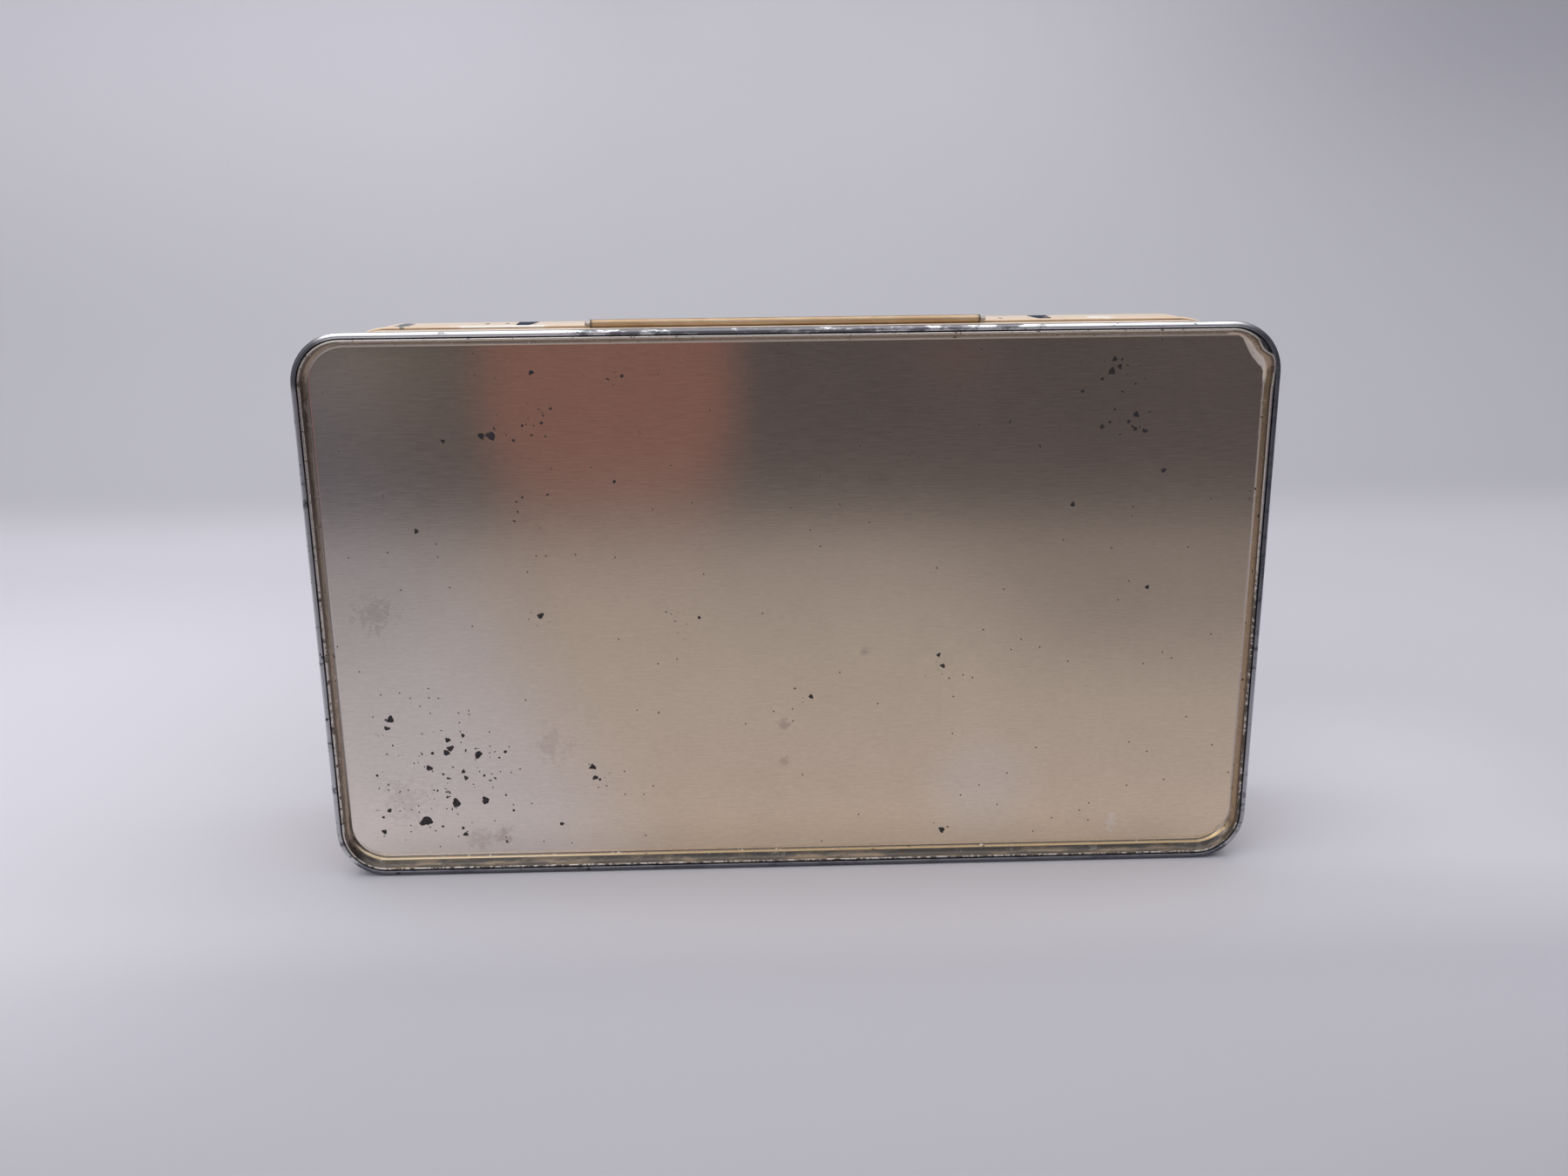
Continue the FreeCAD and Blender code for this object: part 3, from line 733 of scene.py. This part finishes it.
# The larger specks: how far right of the middle and how high they sit, and their width, in millimetres.
SPECKS = (
    (-82, 12, 2.2), (-75, 16, 1.7), (-68.5, 16.5, 1.5), (-69.5, 27.5, 1.5), (-76, 31, 1.0), (-75.5, 29, 1.3),
    (-76.5, 28, 1.2), (-80.5, 24.5, 1.2), (-73, 23.5, 0.8), (-72.5, 22, 0.9), (-72.5, 32, 0.8), (-77.5, 23, 0.6),
    (-76.5, 22, 0.6), (-68.5, 22.5, 0.6), (-79.5, 28, 0.7), (-63.5, 28, 0.7), (-62.5, 14, 0.6), (-77, 17.5, 0.6),
    (-78.5, 10.5, 0.6), (-88, 36, 1.4), (-89, 34, 1.0), (-89, 36, 0.6), (-90, 14.5, 0.9), (-91.5, 13, 0.6),
    (-92, 23, 0.6), (-91.5, 9.5, 1.0), (-74, 10, 0.7), (-73.5, 8.5, 0.9), (-64.5, 6.5, 0.6), (-62, 98, 1.6),
    (-64, 98, 1.2), (-72, 97, 0.8), (-57.5, 97, 0.6), (-51.5, 100.5, 0.7), (-49.5, 103.5, 0.6), (-55.5, 100, 0.6),
    (-53, 111, 0.9), (-54, 59, 1.2), (-79, 78, 0.9), (-44.5, 24, 1.2), (-44, 21.5, 1.0), (-43, 21, 0.6),
    (-52, 10.5, 0.8), (4, 39.5, 0.9), (32, 48.5, 0.8), (33, 46, 0.9), (33.5, 7, 1.2), (60, 81.5, 0.9),
    (77, 63, 0.8), (79, 88.5, 0.9), (67.5, 112, 0.9), (68.5, 110.5, 0.9), (67, 109.5, 1.3), (65, 108, 0.7),
    (61, 105.5, 0.7), (72.5, 100.5, 1.1), (71, 99, 0.7), (72.5, 97.5, 0.8), (74.5, 97, 0.9), (67, 99, 0.6),
    (65.5, 98, 0.9), (-37, 88, 0.7), (-20, 58, 0.7), (-34.5, 110, 0.7))
# Where fine specks crowd: the middle of the crowd, how far it spreads and how many there are.
CROWDS = ((-79, 19, 16, 44), (-88, 30, 7, 7), (-70, 26, 6, 7), (-62, 98, 5, 3), (70, 104, 9, 12), (69, 112, 4, 4),
          (-53, 101, 5, 8), (-37, 109, 7, 5), (-55, 57, 4, 4), (-24, 57, 6, 6), (-44, 22, 4, 6), (33, 45, 5, 5),
          (3, 40, 3, 3), (34, 7, 5, 3), (-56, 83, 6, 6), (-33, 36, 4, 3), (50, 95, 7, 3))
# A speck this wide has two more lobes, and one this wide has more corners.
LOBED, MANY_SIDED = 0.75, 0.56
FIRST_CHANCE = 7


def chances():
    """An endless row of seeded chances from 0 to 1, the same in every run."""
    chance = FIRST_CHANCE
    while True:
        chance = (chance * 1103515245 + 12345) % 2 ** 31
        yield chance / 2 ** 31


def speck_patches():
    """Every patch of rust: its x, height and width in millimetres, its turn and how far it is stretched."""
    row = chances()
    patches = []
    for x, height, wide in SPECKS:
        turn = next(row) * math.tau
        patches.append((x, height, wide, 1.7 * turn, 1.08))
        if wide > LOBED:
            for side, share in ((turn, 0.66), (turn + 2.2, 0.5)):
                patches.append((x + 0.4 * wide * math.cos(side), height + 0.4 * wide * math.sin(side),
                                share * wide, side, 1.1))
    for x, height, spread, count in CROWDS:
        for _ in range(count):
            turn, far = next(row) * math.tau, spread * next(row)
            patches.append((x + far * math.cos(turn), height + far * math.sin(turn), 0.2 + 0.36 * next(row) ** 2,
                            next(row) * math.tau, 1.0 + 0.7 * next(row)))
    return patches


def rust_specks():
    """Thin crusts of rust on the panel."""
    clear()
    proud, gauge, rim = 0.012, 0.035, 0.01
    uneven = 0.12
    level = FRONT + (PLATE[-1][1] - proud) * MM
    piece = None
    for number, (x, height, wide, turn, stretch) in enumerate(speck_patches()):
        # Neighbours differ a little in level, so that no two lie in one plane where they overlap.
        place = (x * MM, level - 0.0005 * MM * (number % 4), height * MM)
        bpy.ops.mesh.primitive_circle_add(
            vertices=11 if wide > MANY_SIDED else 7, radius=wide / 2 * MM, fill_type="NGON", location=place,
            rotation=(math.pi / 2, 0, 0))
        piece = piece or begin("rust_specks")
        bpy.ops.transform.vertex_random(offset=uneven * wide * MM, seed=number)
        bpy.ops.transform.resize(value=(stretch, 0, 1 / stretch), center_override=place)
        bpy.ops.transform.rotate(value=turn, orient_axis="Y", center_override=place)
        bpy.ops.mesh.inset(thickness=uneven * wide * MM, depth=rim * MM)
    thicken(piece, gauge)
    return piece


def dress():
    """Makes every piece, gives it its finish and seats it on the frame."""
    crimp = seam_crimp()
    wear_in(crimp, 0.05, 7)
    give(done(crimp, 60), worn_tin())
    wall = done(side_wall(), 35)
    give(wall, cream_paint("cream_wall"))
    plate = done(base_plate(gold_lacquer(), pressed_gold(), bare_edge(), packed_grime()), 60)
    lid = done(lid_shell())
    give(lid, cream_paint("cream_lid", lid=True))
    lip = done(thumb_lip())
    give(lip, lid.data.materials[0])
    roll = done(hinge_roll())
    give(roll, hinge_gold())
    wire = done(hinge_wire())
    give(wire, dull_wire())
    specks = done(rust_specks())
    give(specks, black_rust())

    for piece, node, slot in ((crimp, "tin_body", "painted_wall"), (wall, "tin_body", "painted_wall"),
                              (plate, "base_plate", "lacquered_plate"), (specks, None, "lacquered_plate"),
                              (lid, "lid", "painted_lid"), (lip, "lid", "painted_lid"),
                              (roll, "hinge_knuckle", "hinge_strip"), (wire, "hinge_wire", "hinge_wire")):
        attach(piece, "root")
        if node:
            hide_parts(node)


# ---------------------------------------------------------------- studio

DIM = (0.085, 0.083, 0.105)


def lilac_paper():
    """Pale lilac-grey paper, lighter and darker in wide soft fields of painted light and shade; the mirroring
    metal sees its far end dark, as a dim painted reflection.
    """
    finish, place = new_finish("lilac_paper")
    x, y, z = axes(place)
    colour = blend(noise(place, 9, detail=4), (0.55, 0.54, 0.585), (0.58, 0.57, 0.615))
    near = ramp(y, -0.02, -0.045) * ramp(x, -0.25, -0.08)
    left = ramp(x, -0.06, -0.26)
    painted_light_beside = ramp(x, 0.085, 0.115) * ramp(x, 0.22, 0.15) * (ramp(y, -0.045, -0.02) * ramp(y, 0.10, 0.03))
    sides = greatest(ramp(x, 0.03, 0.17), ramp(x, -0.06, -0.15) * 1.1)
    front_left = ramp(x, -0.11, -0.16) * ramp(y, -0.10, -0.22)
    # Painted light and shade: the fields lighten the paper to the left of the tin and beside it, where its shadow
    # falls, and darken it towards the front, the sides, the low backdrop and the backdrop's upper right.
    for field, tone in (
            (near, (0.575, 0.566, 0.615)),
            (near * ramp(y, -0.04, -0.07), (0.485, 0.477, 0.527)),
            (left, (0.61, 0.60, 0.65)),
            (left * (ramp(y, 0.28, 0.12) * ramp(y, -0.09, -0.04)), (0.68, 0.67, 0.725)),
            (ramp(y, 0.30, 0.45) * ramp(z, 0.28, 0.06), (0.49, 0.485, 0.515)),
            (ramp(x, 0.15, 0.55) * ramp(z, 0.05, 0.30), (0.40, 0.395, 0.44)),
            (painted_light_beside, (0.64, 0.63, 0.68)),
            (sides * ramp(y, -0.08, -0.16), (0.45, 0.44, 0.48)),
            (ramp(y, -0.08, -0.17) * ramp(y, -0.34, -0.24), (0.46, 0.455, 0.495)),
            (ramp(y, -0.12, -0.44), (0.33, 0.325, 0.36)),
            (ramp(x, 0.055, 0.125) * ramp(y, -0.10, -0.24), (0.295, 0.29, 0.32)),
            (front_left * 0.6, (0.33, 0.32, 0.34))):
        colour = blend(field, colour, tone)
    coat(finish, {"Base Color": colour, "Roughness": 0.75, "Specular IOR Level": 0.2})
    tree = finish.node_tree
    beyond = ramp(y, -0.37, -0.40) * Shade(add(tree, "LightPath").outputs["Is Glossy Ray"])
    show(finish, beyond, tree.nodes["Principled BSDF"].outputs[0], glow(tree, DIM))
    return finish


def glow(tree, tone):
    """An even glow of its own."""
    return add(tree, "Emission", {"Color": (*tone, 1), "Strength": 1.0}).outputs[0]


def show(finish, factor, first, second):
    """Makes the surface a mix of two shaders."""
    mixed = add(finish.node_tree, "MixShader", {0: factor, 1: first, 2: second}).outputs[0]
    fill(finish.node_tree, finish.node_tree.nodes["Material Output"], {"Surface": mixed})


def paper_sweep():
    """A paper sweep under and behind the tin."""
    clear()
    width, depth, rise, bend = 2.6, 1.5, 1.2, 0.35
    far = depth / 2 - 0.05
    bpy.ops.mesh.primitive_plane_add(size=1, location=(0, 0, 0))
    sweep = begin("paper_sweep", (width, depth, 1))
    pick(sweep, "EDGE", lambda edge: all(point.co.y > far for point in edge.verts))
    bpy.ops.mesh.extrude_edges_move(TRANSFORM_OT_translate={"value": (0, 0, rise)})
    pick(sweep, "EDGE", lambda edge: all(point.co.y > far and abs(point.co.z) < 0.01 for point in edge.verts))
    bpy.ops.mesh.bevel(offset=bend, segments=24)
    give(done(sweep, 60), lilac_paper())


# The rose card's soft spots: middle as x and z, half width, half height, how firm and how full.
ROSE_SPOTS = ((-0.078, 0.062, 0.072, 0.085, 0.72, 1.0), (0.095, 0.088, 0.032, 0.024, 0.3, 0.3))


def rose_card():
    """A dull rose card in front that glows of its own, seen only as a soft painted reflection in the metal."""
    clear()
    bpy.ops.mesh.primitive_plane_add(size=1, location=(-0.02, -0.42, 0.05), rotation=(math.pi / 2, 0, 0))
    card = begin("rose_card", (0.36, 0.24, 1))
    bpy.ops.mesh.subdivide(number_cuts=3)
    close()
    finish, place = new_finish("dull_rose")
    x, _, z = axes(place)
    spots = []
    for across, height, half_width, half_height, firm, full in ROSE_SPOTS:
        reach = vectors("LENGTH", combine((x - across) / half_width, (z - height) / half_height))
        spots.append(ramp(reach, 1.08, firm) * full)
    tree = finish.node_tree
    show(finish, greatest(*spots), add(tree, "BsdfTransparent").outputs[0], glow(tree, (0.222, 0.128, 0.135)))
    give(card, finish)
    card.visible_camera = card.visible_diffuse = card.visible_shadow = False


def lamp(name, place, aim, width, height, power):
    """A soft oblong lamp pointed at a spot."""
    light = bpy.data.lights.new(name, "AREA")
    light.shape = "RECTANGLE"
    light.size, light.size_y = width, height
    light.energy = power
    holder = bpy.data.objects.new(name, light)
    holder.location = place
    holder.rotation_euler = (Vector(aim) - Vector(place)).to_track_quat("-Z", "Y").to_euler()
    holder.visible_camera = False
    bpy.context.scene.collection.objects.link(holder)


def room():
    """A room that is light above and dim low down in front; the camera sees a plain pale background."""
    world = bpy.data.worlds.new("room")
    bpy.context.scene.world = world
    world.use_nodes = True
    tree = world.node_tree
    tree.nodes.clear()
    x, y, z = axes(Shade(add(tree, "TexCoord").outputs["Generated"]))
    low = blend(ramp(y, -0.85, -0.2), DIM, (0.30, 0.295, 0.32))
    low = blend(ramp(x, -0.1, -0.5), low, (0.30, 0.295, 0.31))
    low = blend(ramp(x, 0.25, 0.7), low, (0.16, 0.155, 0.175))
    front = ramp(y, -0.35, -0.7) * ramp(z, 0.06, 0.30)
    light = blend(greatest(ramp(z, 0.45, 0.85), front), low, (0.62, 0.63, 0.66))
    pale = blend(ramp(z, -0.2, 0.4), (0.50, 0.49, 0.54), (0.46, 0.455, 0.50))
    seen = blend(Shade(add(tree, "LightPath").outputs["Is Camera Ray"]), light, pale)
    backdrop = add(tree, "Background", {"Color": seen, "Strength": 1.0}).outputs[0]
    add(tree, "OutputWorld", {"Surface": backdrop})


def camera():
    """The camera in front and above, tipped down on the tin and leaning a little."""
    lens = bpy.data.cameras.new("camera")
    lens.sensor_width = 36
    lens.lens = 31.38
    lens.clip_start = 0.01
    stand = (-8.6 * MM, -302.6 * MM, 139.9 * MM)
    down, turn, lean = math.radians(14.93), math.radians(1.41), math.radians(-0.65)
    ahead = Vector((math.sin(turn) * math.cos(down), math.cos(turn) * math.cos(down), -math.sin(down)))
    right = Vector((math.cos(turn), -math.sin(turn), 0))
    above = right.cross(ahead)
    level = right * math.cos(lean) + above * math.sin(lean)
    above = above * math.cos(lean) - right * math.sin(lean)
    rotation = Matrix((level, above, -ahead)).transposed()
    holder = bpy.data.objects.new("camera", lens)
    holder.matrix_world = Matrix.Translation(stand) @ rotation.to_4x4()
    bpy.context.scene.collection.objects.link(holder)
    bpy.context.scene.camera = holder


camera()
paper_sweep()
rose_card()
room()
lamp("overhead", (-0.08, -0.22, 0.85), (-0.08, -0.22, 0), 1.3, 1.1, 3.8)
lamp("front_left", (-0.55, -0.45, 0.75), (0.05, 0.6, 0.12), 1.1, 1.1, 1.4)
lamp("wash", (-0.05, 0.12, 0.75), (-0.02, 0.74, 0.32), 1.3, 0.4, 2.8)
dress()
bpy.context.scene.view_settings.view_transform = "Standard"
